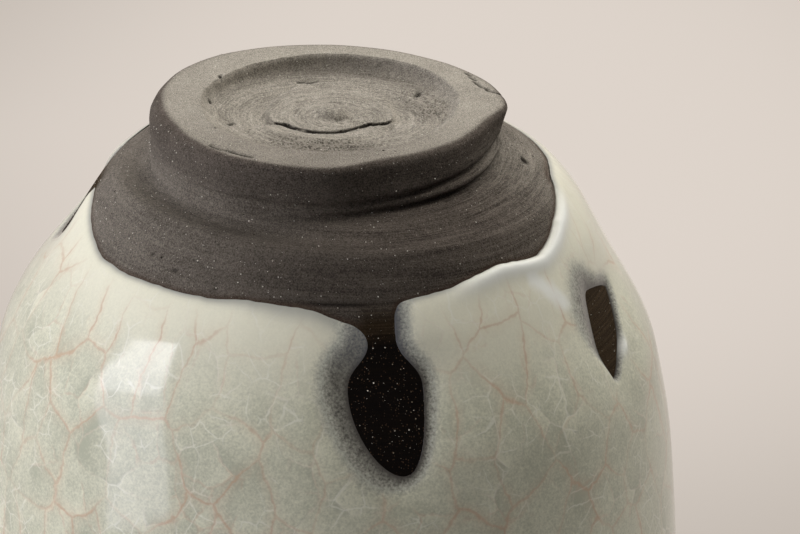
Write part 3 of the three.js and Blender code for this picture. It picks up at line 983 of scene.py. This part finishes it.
lap_rows = np.arange(before_lap, lap_end - 0.3, lap_spacing)
columns = int(chart_width / column_spacing)
for number, length in enumerate(np.concatenate([wall_rows, lip_rows, lap_rows, [lap_end]])):
    x = (np.arange(columns) + 0.5 * (number % 2)) / columns * chart_width
    x = np.concatenate([[0], x[x > 0.3], [chart_width]])
    kept = x[glaze_edge(chart_turn(x), np.full(x.shape, length)) > edge_levels[-1] + 0.5]
    chart_points.append(np.stack([kept, np.full(kept.shape, length)], 1))
vectors = [Vector(point) for point in np.concatenate(chart_points).tolist()]
result = delaunay_2d_cdt(vectors, np.concatenate(chart_pairs).tolist(), [], 0, 0.02)
chart = np.array([tuple(point) for point in result[0]])
triangles = np.array([face for face in result[2] if len(face) == 3])

# The chart's two ends meet at the back of the bowl
right_end = np.nonzero(chart[:, 0] > chart_width - 0.01)[0]
left_end = np.nonzero(chart[:, 0] < 0.01)[0]
joined = np.arange(len(chart))
joined[right_end] = left_end[np.abs(chart[left_end, 1][None] - chart[right_end, 1][:, None]).argmin(1)]
middle = chart[triangles].mean(1)
triangles = joined[triangles[glaze_edge(chart_turn(middle[:, 0]), middle[:, 1]) > 0]]
triangles = triangles[(triangles != np.roll(triangles, 1, 1)).all(1)]
used = np.unique(triangles)
renumber = np.zeros(len(chart), int)
renumber[used] = np.arange(len(used))
triangles = renumber[triangles]
coat_turn = chart_turn(chart[used, 0])
coat_length = chart[used, 1]

# Thickness of the coat: feathered out at most edges, rolled where two dips run together, with a bead there
sides = np.sort(np.concatenate([triangles[:, [0, 1]], triangles[:, [1, 2]], triangles[:, [2, 0]]]), 1)
unique_sides, uses = np.unique(sides, axis=0, return_counts=True)
rim = np.zeros(len(used), bool)
rim[unique_sides[uses == 1]] = True
edge = np.maximum(glaze_edge(coat_turn, coat_length), 0)
full, cover, bluish = glaze_thinning(coat_turn, coat_length)
rolled = np.sqrt(1 - (1 - np.clip(edge / edge_round, 0, 1)) ** 2)
feathered = 1 - np.exp(-edge / feather_run)
run_together = peak(coat_turn, 216, 25, 6)
rolled = feathered + (rolled - feathered) * run_together
bead_and_highlight_share = run_together * peak(above_dip(coat_turn, coat_length), 1.1, 1.3)
tip_bead = bump(coat_turn, 200.6, 2.4) * peak(coat_length, wall_length(31.4), 1.7)
bead_and_highlight_share = np.maximum(bead_and_highlight_share, 0.8 * tip_bead * peak(edge, 0.8, 0.8))
coat = edge_coat + (outer_coat - edge_coat) * ease(edge, 0.0, edge_run) + bead_rise * bead_and_highlight_share
swell = 0.05 * np.sin(np.radians(coat_turn * 5) + coat_length * 0.16) * np.sin(coat_length * 0.21)
swell += 0.03 * np.sin(np.radians(coat_turn * 11) - coat_length * 0.3 + 1.3)
thickness = rolled * (coat + swell) * (thin_share + (1 - thin_share) * full)
thickness = thickness + (lap_coat - thickness) * ease(coat_length, lap_end - 2.6, lap_end - 0.5)
thickness[rim] = 0

# Looks of the coat: a painted white highlight on the bead, a pale run painted the same white, hazy edges, and
# cracks that fade towards the edge
run_radius = 40
pale_run = [(154.8, wall_length(16.6)), (152.6, wall_length(18.8)), (150.4, wall_length(21.2))]
run_distance = line_distance(np.radians(coat_turn) * run_radius, coat_length, pale_run)
bead_and_highlight_share = np.maximum(bead_and_highlight_share, 0.85 * peak(run_distance, 0, 1.4, 4))
haze = peak(edge, 0, 0.6 + 1.3 * bump(coat_turn, 276, 15)) * (1 - run_together)
crazed = ease(edge, 0.6, 6.0)
coat_shares = {"cover": cover, "bluish": bluish, "haze": haze, "bead_highlight_and_pale_run": bead_and_highlight_share, "crazed": crazed}
coat_shares = {key: np.concatenate([values, values[~rim]]) for key, values in coat_shares.items()}


def coat_points(offset):
    """Points of the coat at a distance off the clay."""
    radius, height, facing_r, facing_z = on_line(coat_length)
    out = radius + facing_r * offset
    angle = np.radians(coat_turn)
    return np.stack([out * np.cos(angle), out * np.sin(angle), height + facing_z * offset], 1)


front = coat_points(np.where(rim, -coat_sunk, thickness))
back = coat_points(-coat_sunk)[~rim]
behind = np.arange(len(used))
behind[~rim] = len(used) + np.arange(len(back))
coat_faces = triangles.tolist() + behind[triangles[:, ::-1]].tolist()
outer_glaze = mesh_piece("outer_glaze_coat", np.concatenate([front, back]), coat_faces, coat_shares)


def glaze_finish(name, dipped):
    """Milky crackled glaze: stained cracks round large cells, pale flakes within them, and a clear coat."""
    material, nodes = new_finish(name)
    place = nodes.place()
    x, y, height = [nodes.axis(place, letter) for letter in "XYZ"]
    reach = nodes.vector("LENGTH", nodes.vector("MULTIPLY", place, (1.0, 1.0, 0.0)), output="Value")

    def noise(per_mm, detail, output=0):
        return nodes.noise(place, per_mm, detail, 0.6, output)

    def push(per_mm, size):
        shift = nodes.vector("SUBTRACT", noise(per_mm, 1.0, "Color"), (0.5, 0.5, 0.5))
        return nodes.vector("MULTIPLY", shift, (size, size, 0.0))

    def wall_chart(facing):
        """The wall laid out flat, with its middle in front for 1 and at the back for -1."""
        angle = (x * facing).angle_from(y * -facing)
        return nodes.add("ShaderNodeCombineXYZ", {"X": angle * 46.0 + 200.0 * facing, "Y": height * 1.12})

    bend = nodes.vector("ADD", push(0.09, 5.0), push(0.6, 0.9))
    front_chart, back_chart, floor_chart = [
        nodes.vector("ADD", laid, bend) for laid in (wall_chart(1.0), wall_chart(-1.0), place)
    ]

    def cells(vector, size, stretch):
        """How far a place is from the cracks round cells of a size, and how its flake is tilted there."""
        stretched = nodes.vector("MULTIPLY", vector, (1.0, stretch, 0.0))
        sockets = {"Vector": stretched, "Scale": 1 / size}

        def cell(output, feature="F1"):
            settings = {"voronoi_dimensions": "2D", "feature": feature}
            return nodes.add("ShaderNodeTexVoronoi", sockets, output, **settings)

        away = cell("Distance", "DISTANCE_TO_EDGE") * size
        from_middle = nodes.vector("SUBTRACT", stretched, cell("Position"))
        lean = nodes.vector("SUBTRACT", cell("Color"), (0.5, 0.5, 0.5))
        return away, nodes.vector("DOT_PRODUCT", from_middle, lean, "Value") / size

    def between(firsts, seconds, share):
        return [first + (second - first) * share for first, second in zip(firsts, seconds)]

    def crackle(size, stretch):
        """Cells all round the wall, and over the floor on the inside."""
        at_back = nodes.ramp(y / reach, -0.15, 0.15)
        pair = between(cells(front_chart, size, stretch), cells(back_chart, size, stretch), at_back)
        if dipped:
            return pair
        return between(pair, cells(floor_chart, size, 1.0), nodes.ramp(reach, 36.0, 28.0))

    crazed = nodes.share("crazed") if dipped else 1.0
    broad, broad_tilt = crackle(7.6, 0.62)
    small, small_tilt = crackle(5.0, 0.8)
    tiny, _ = crackle(3.2, 0.9)
    cloud = noise(0.06, 2.0)
    mottle = noise(1.1, 3.0)
    speckle = noise(2.8, 3.0)
    stained = nodes.ramp(noise(0.09, 2.0), 0.36, 0.64)
    opened = nodes.ramp(noise(0.13, 2.0), 0.42, 0.6)
    splintered = nodes.ramp(noise(0.15, 2.0), 0.47, 0.6) * crazed
    wander = (mottle - 0.5) * 0.9
    flake = (small_tilt * opened * 0.8 + broad_tilt * 0.35) * crazed
    tone = nodes.ramp(cloud * 0.4 + mottle * 0.5 + speckle + flake, 0.5, 1.4)
    # Paler low on the wall: partly the cream of the thicker glaze by its lower edge, partly painted light
    # from the lamps by the foot
    pale_low = nodes.ramp(height, 32.0, 19.0)
    clear_line = nodes.ramp(small, 0.22, 0.04) * opened * (1 - stained)
    tiny_line = nodes.ramp(tiny, 0.17, 0.03) * splintered
    fine_line = nodes.ramp(small + wander, 0.3, 0.0) * stained * opened * crazed
    glow = nodes.ramp(broad + wander, 1.6, 0.0) * (stained * 0.2 + 0.04) * crazed
    stained_line = nodes.ramp(broad + wander * 0.4, 0.28, 0.0) * (stained * 0.45 + 0.14) * crazed
    base = nodes.lay(
        nodes.mix(tone, colour(178, 179, 159), colour(229, 227, 205)),
        (pale_low * 0.8, (240, 236, 216)),
        (clear_line * 0.45, (242, 240, 228)),
        (tiny_line * 0.45, (244, 242, 231)),
        (fine_line * 0.35, (204, 172, 146)),
        (glow, (218, 194, 170)),
        (stained_line, (200, 163, 134)),
    )
    if dipped:
        cover = nodes.share("cover")
        uneven = (speckle - 0.5) * 2.2 + (mottle - 0.5)
        grainy = cover + uneven * cover * (1 - cover) * 2.4
        smoky = nodes.mix(nodes.share("bluish"), colour(20, 17, 15), colour(64, 68, 77))
        base = nodes.lay(
            base,
            (nodes.share("haze") * 0.75, (128, 130, 130)),
            (nodes.ramp(cover, 1.0, 0.6), (206, 206, 192)),
        )
        # Painted highlight: the bead and the pale run are laid on nearly white
        base = nodes.lay(nodes.mix(grainy, smoky, base), (nodes.share("bead_highlight_and_pale_run") * 0.95, (252, 253, 248)))
    relief = nodes.ramp(small, 0.0, 0.4) * opened * 0.3 + nodes.ramp(broad, 0.0, 0.4) * 0.3 + mottle * 0.3
    normal = nodes.add("ShaderNodeBump", {"Strength": 0.2, "Distance": 0.1 * MM, "Height": relief})
    roughness = 0.42 + speckle * 0.1
    milky = {"Base Color": base, "Roughness": roughness, "Normal": normal, "Specular IOR Level": 0.35}
    clear_coat = {"Coat Weight": 1.0, "Coat Roughness": 0.09, "Coat IOR": 1.5}
    nodes.surface({**milky, **clear_coat})
    return material


outer_glaze.data.materials.append(glaze_finish("dipped_crackle_glaze", True))
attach(outer_glaze, "root")
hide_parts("outer_glaze")


# Inner glaze
# The coat that was poured into the bowl and swirled round before the bowl was dipped. The dipped
# coat laps over its upper edge below the lip, and it lies thickest in the pool on the floor.
under_lap = 2.4
pooled = 0.5
inner_front = []
inner_back = []
for length in spaced((lap_end - under_lap, lap_end, 0.6), (lap_end, floor_length - 0.8, 1.3)):
    radius, height, facing_r, facing_z = on_line(length)
    coat = inner_coat * ease(length, lap_end - under_lap - 0.3, lap_end - 0.9)
    coat = coat + waves((4, 0.06, length * 0.12), (9, 0.04, length * -0.2))
    coat = coat + pooled * ease(pool_radius + 3.0 - radius, 0, 6.0)
    inner_front.append(ring((0, 0), radius + facing_r * coat, height + facing_z * coat))
    inner_back.append(ring((0, 0), radius - facing_r * coat_sunk, height - facing_z * coat_sunk))
inner_rings = inner_front[::-1] + inner_back
inner_ends = [[0, 0, floor_height + inner_coat + pooled], [0, 0, floor_height - coat_sunk]]
inner_faces = [face[::-1] for face in ring_faces(len(inner_rings))]
inner_glaze = mesh_piece("inner_glaze_coat", np.concatenate([*inner_rings, inner_ends]), inner_faces, {})
inner_glaze.data.materials.append(glaze_finish("poured_crackle_glaze", False))
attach(inner_glaze, "root")
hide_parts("inner_glaze")


# Studio
# A pale floor that only the camera sees, and only from above, so that the foot can be looked at
# from below. Soft lamps stand round the bowl: the main ones light the foot and one side.
scene = bpy.context.scene
scene.view_settings.view_transform = "Standard"
floor_size = 1.6
floor_drop = 0.0002
floor_fade = (0.16, 0.42)
floor_corners = [(-1, -1), (1, -1), (1, 1), (-1, 1)]
floor_points = [(x * floor_size, y * floor_size, -floor_drop) for x, y in floor_corners]
floor_mesh = bpy.data.meshes.new("floor")
floor_mesh.from_pydata(floor_points, [], [(0, 1, 2, 3)])
floor = new_object("floor", floor_mesh)
for rays in ("shadow", "diffuse", "glossy", "transmission"):
    setattr(floor, "visible_" + rays, False)
backdrop_dark = colour(196, 187, 178)
backdrop_pale = colour(222, 212, 203)
floor_material, nodes = new_finish("pale_floor")
floor_place = nodes.add("ShaderNodeTexCoord", output="Object")
fading = nodes.ramp(nodes.vector("LENGTH", floor_place, output="Value"), *floor_fade)
hidden = fading.at_least(nodes.add("ShaderNodeNewGeometry", output="Backfacing"))
paper_colour = nodes.mix(nodes.noise(floor_place, 900.0, 2.0), backdrop_dark, backdrop_pale)
paper_look = {"Base Color": paper_colour, "Roughness": 0.9, "Specular IOR Level": 0.2}
paper = nodes.add("ShaderNodeBsdfPrincipled", paper_look)
clear = nodes.add("ShaderNodeBsdfTransparent")
mixed = nodes.add("ShaderNodeMixShader", {"Fac": hidden, 1: paper, 2: clear})
nodes.add("ShaderNodeOutputMaterial", {"Surface": mixed})
floor_mesh.materials.append(floor_material)

# The backdrop is brightest on one side. Camera and mirrored rays see it, but it hardly lights the bowl.
world = bpy.data.worlds.new("studio")
scene.world = world
world.use_nodes = True
nodes = Nodes(world.node_tree)
heading = nodes.add("ShaderNodeTexCoord", output="Generated")
aside = nodes.axis(heading, "X")
upward = nodes.axis(heading, "Z")
bright_aside = -0.05
bright_height = 0.36
fall_aside = 14.0
fall_upward = 50.0
fall_in_corner = 40.0
from_bright = (aside - bright_aside) ** 2.0 * fall_aside + (upward - bright_height) ** 2.0 * fall_upward
corner = aside.at_least(0.0) * (bright_height - upward).at_least(0.0)
from_bright = from_bright + corner * fall_in_corner
backdrop = nodes.mix(nodes.ramp(from_bright, 1.0, 0.0), backdrop_dark, backdrop_pale)
camera_ray, glossy_ray, clear_ray = [
    nodes.add("ShaderNodeLightPath", output=name)
    for name in ("Is Camera Ray", "Is Glossy Ray", "Is Transmission Ray")
]
rays = {0: camera_ray + glossy_ray, 1: clear_ray}
shown = nodes.add("ShaderNodeMath", rays, operation="ADD", use_clamp=True)
ambient = 0.03
dome = nodes.mix(shown, (ambient, ambient * 0.98, ambient * 0.95, 1.0), backdrop)
nodes.add("ShaderNodeOutputWorld", {"Surface": nodes.add("ShaderNodeBackground", {"Color": dome})})

warm = (1.0, 0.985, 0.94)
neutral = (1.0, 0.99, 0.98)
cool = (0.99, 1.0, 1.06)


def lamp(name, place, size, power, tint, mirrored=False, aim=(0, 0, 0.03), roll=0.0):
    """A soft rectangular lamp at a place, in metres, that faces a point and may be mirrored in the glaze."""
    data = bpy.data.lights.new(name, "AREA")
    data.shape = "RECTANGLE"
    data.size, data.size_y = size
    data.energy = power
    data.color = tint
    made = new_object(name, data)
    made.location = place
    facing = (Vector(place) - Vector(aim)).to_track_quat("Z", "Y").to_matrix().to_4x4()
    made.rotation_euler = (facing @ Matrix.Rotation(np.radians(roll), 4, "Z")).to_euler()
    made.visible_camera = False
    made.visible_glossy = mirrored


lamp("foot_light", (0.0, 0.42, -0.30), (0.40, 0.30), 2.3, neutral)
lamp("over_front", (-0.14, -0.14, -0.61), (0.5, 0.4), 0.6, warm)
lamp("over_back", (-0.05, 0.10, -0.62), (0.4, 0.4), 0.9, warm)
lamp("window_upper", (0.468, -0.133, -0.170), (0.236, 0.064), 0.30, cool, True, (0.066, 0.133, 0.189), 17.6)
lamp("window_lower", (0.543, -0.277, 0.016), (0.27, 0.43), 1.02, cool, True, (0.143, -0.015, 0.380), 17.6)
lamp("window_side", (0.62, 0.05, -0.16), (0.3, 0.4), 1.8, cool)
lamp("window_front", (0.45, -0.46, 0.0), (0.4, 0.4), 0.9, neutral)
lamp("far_side", (-0.46, 0.20, -0.46), (0.3, 0.4), 1.95, warm)
lamp("far_back", (-0.50, 0.42, -0.25), (0.3, 0.4), 0.4, warm)
lamp("top_light", (-0.15, -0.1, 0.9), (0.6, 0.6), 6.0, warm)


# Camera
# It looks up at the foot from in front and is turned over, so that the foot is on top of the picture.
camera_data = bpy.data.cameras.new("camera")
camera_data.sensor_width = 36.0
camera_data.lens = 126.2
camera_data.clip_start = 0.01
camera = new_object("camera", camera_data)
camera_place = Vector((-0.53, -400.7, -148.8)) * MM
camera_heading, camera_rise, camera_roll = np.radians((-1.412, 23.627, 2.788))
flat_view = np.cos(camera_rise)
view = Vector((np.sin(camera_heading) * flat_view, np.cos(camera_heading) * flat_view, np.sin(camera_rise)))
level_right = view.cross(Vector((0, 0, -1))).normalized()
level_up = level_right.cross(view)
picture_right = level_right * np.cos(camera_roll) + level_up * np.sin(camera_roll)
picture_up = level_up * np.cos(camera_roll) - level_right * np.sin(camera_roll)
turn = Matrix((picture_right, picture_up, -view)).transposed().to_4x4()
camera.matrix_world = Matrix.Translation(camera_place) @ turn
scene.camera = camera
